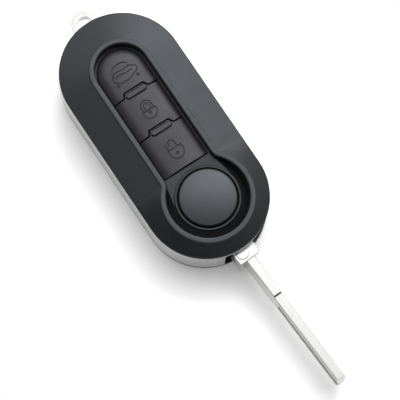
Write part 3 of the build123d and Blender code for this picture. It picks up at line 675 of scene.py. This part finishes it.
def padlock_body(x, y, drop):
    """Flat-topped, round-bottomed body of a padlock and its keyhole.

    The body's top is centred on the point (x, y), and its round starts a drop lower.
    """
    sides = arc((x, y - drop), PADLOCK_HALF, 180, 360)
    outline = np.vstack([[(x - PADLOCK_HALF, y)], sides, [(x + PADLOCK_HALF, y)]])
    keyhole = ring((x, y - drop - KEYHOLE_DROP), DOT_RADIUS)
    return [(outline, True), (keyhole, True)]


def closed_padlock_sign():
    """Padlock with its shackle shut."""
    x, y = 0.05, 7.25
    shackle = np.vstack([[(x + 1.5, y)], arc((x, y + 1.4), 1.5, 0, 180), [(x - 1.5, y)]])
    inside = np.vstack([[(x + 0.75, y)], arc((x, y + 1.4), 0.75, 0, 180), [(x - 0.75, y)]])
    return padlock_body(x, y, 0.4) + [(shackle, False), (inside, False)]


def open_padlock_sign():
    """Padlock with its shackle lifted out on one side."""
    x, y = 0.0, -5.1
    bow = arc((x - 0.05, y + 1.5), 0.9, 0, 180)
    shackle = np.vstack([[(x + 0.85, y)], bow, [(x - 0.95, y + 1.0)]])
    leg = np.array([(x - 1.75, y), (x - 1.75, y + 2.1)])
    return padlock_body(x, y, 1.15) + [(shackle, False), (leg, False)]


effects = {
    "moulded_grain": make_moulded_grain(),
    "drawn_lines": make_drawn_lines(),
    "handled_sheen": make_handled_sheen(),
    "rounded_edge_highlight": make_rounded_edge_highlight(),
    "painted_facing_tone": make_painted_facing_tone(),
    "tone_blend": make_tone_blend(),
}

# Looks of the record's material slots. Dark, pale and edge-lit are linear colours,
# edge-lit being the painted edge highlight's. Low and high are roughness, scale is
# the texture's, per metre, and gain is how fast the painted edge highlight shows.
# Relief is the bump's depth and radius the rounded edge's, in metres.
# The black plastics mirror with a slight blue tint
BLUE_TINT = (0.86, 0.93, 1.0)
LOOKS = {
    "shell_black": {
        "texture": "moulded_grain", "scale": 7000.0, "relief": 3e-6,
        "dark": (0.0115, 0.012, 0.0128), "pale": (0.0145, 0.015, 0.016),
        "edge_lit": (0.028, 0.03, 0.033), "low": 0.39, "high": 0.45,
        "radius": 0.0002, "gain": 1.5, "tint": BLUE_TINT, "ior": 1.57,
    },
    "button_black": {
        "texture": "moulded_grain", "scale": 9000.0, "relief": 4e-6,
        "dark": (0.0125, 0.012, 0.0132), "pale": (0.0158, 0.0152, 0.0168),
        "edge_lit": (0.03, 0.029, 0.032), "low": 0.46, "high": 0.54,
        "radius": 0.0001, "gain": 1.5, "tint": (0.93, 0.93, 1.0), "ior": 1.57,
    },
    "collar_black": {
        "texture": "moulded_grain", "scale": 7000.0, "relief": 3e-6,
        "dark": (0.009, 0.009, 0.0095), "pale": (0.0115, 0.0115, 0.012),
        "edge_lit": (0.022, 0.022, 0.024), "low": 0.3, "high": 0.36,
        "radius": 0.00012, "gain": 1.2, "tint": BLUE_TINT, "ior": 1.4,
    },
    "dome_black": {
        "texture": "moulded_grain", "scale": 8000.0, "relief": 3e-6,
        "dark": (0.0185, 0.0195, 0.021), "pale": (0.0225, 0.0235, 0.0255),
        "edge_lit": (0.037, 0.039, 0.042), "low": 0.4, "high": 0.46,
        "radius": 0.00015, "gain": 1.2, "tint": BLUE_TINT, "ior": 1.62,
    },
    # Painted facing tone: dark is the top faces' painted shade, pale the sides' painted light
    "silver_trim": {
        "texture": "moulded_grain", "scale": 12000.0, "relief": 1.5e-6, "metallic": 1.0,
        "dark": (0.3, 0.3, 0.295), "pale": (0.5, 0.5, 0.49),
        "edge_lit": (0.58, 0.58, 0.57), "low": 0.2, "high": 0.24,
        "radius": 0.00015, "gain": 1.5, "painted_facing": True,
    },
    "head_chrome": {
        "texture": "moulded_grain", "scale": 9000.0, "relief": 1e-6, "metallic": 1.0,
        "dark": (0.47, 0.47, 0.465), "pale": (0.55, 0.55, 0.545),
        "edge_lit": (0.6, 0.6, 0.6), "low": 0.2, "high": 0.27,
        "radius": 0.0002, "gain": 1.5,
    },
    # Painted facing tone: dark is the top faces' painted shade, pale the sides' painted light
    "blade_steel": {
        "texture": "drawn_lines", "scale": 9000.0, "relief": 2e-6, "metallic": 1.0,
        "stretch": (1.0, 30.0, 1.0), "turn": BLADE_TILT,
        "dark": (0.46, 0.46, 0.45), "pale": (0.68, 0.68, 0.665),
        "edge_lit": (0.54, 0.54, 0.53), "low": 0.26, "high": 0.34,
        "radius": 0.00012, "gain": 1.5, "painted_facing": True,
    },
    "spring_steel": {
        "texture": "drawn_lines", "scale": 9000.0, "relief": 1.5e-6, "metallic": 1.0,
        "stretch": (6.0, 6.0, 1.0),
        "dark": (0.36, 0.36, 0.37), "pale": (0.5, 0.5, 0.5),
        "edge_lit": (0.6, 0.6, 0.6), "low": 0.28, "high": 0.4,
        "radius": 0.00005, "gain": 1.0,
    },
    "chassis_plastic": {
        "texture": "moulded_grain", "scale": 5000.0, "relief": 5e-6,
        "dark": (0.017, 0.017, 0.018), "pale": (0.023, 0.023, 0.024),
        "edge_lit": (0.034, 0.034, 0.035), "low": 0.48, "high": 0.58,
        "radius": 0.00015, "gain": 1.0,
    },
    "mat_silicone": {
        "texture": "moulded_grain", "scale": 4000.0, "relief": 3e-6,
        "dark": (0.04, 0.04, 0.041), "pale": (0.055, 0.055, 0.056),
        "edge_lit": (0.07, 0.07, 0.07), "low": 0.6, "high": 0.72,
        "radius": 0.0002, "gain": 0.8,
    },
    "contact_metal": {
        "texture": "drawn_lines", "scale": 8000.0, "relief": 1.5e-6, "metallic": 1.0,
        "stretch": (20.0, 1.0, 1.0),
        "dark": (0.66, 0.58, 0.42), "pale": (0.76, 0.7, 0.54),
        "edge_lit": (0.82, 0.76, 0.62), "low": 0.25, "high": 0.34,
        "radius": 0.00008, "gain": 1.0,
    },
}

place_camera()
light_fob()
paint_room()
lay_floor()

finishes = {name: finish(name, look) for name, look in LOOKS.items()}
signs = {
    "trunk_button": car_sign(),
    "lock_button": closed_padlock_sign(),
    "unlock_button": open_padlock_sign(),
}
for node in frame["nodes"]:
    if node in signs:
        engraved_button(node, signs[node], finishes[slots[node]])
    else:
        dress(node, finishes[slots[node]])

bpy.context.scene.view_settings.view_transform = "Standard"
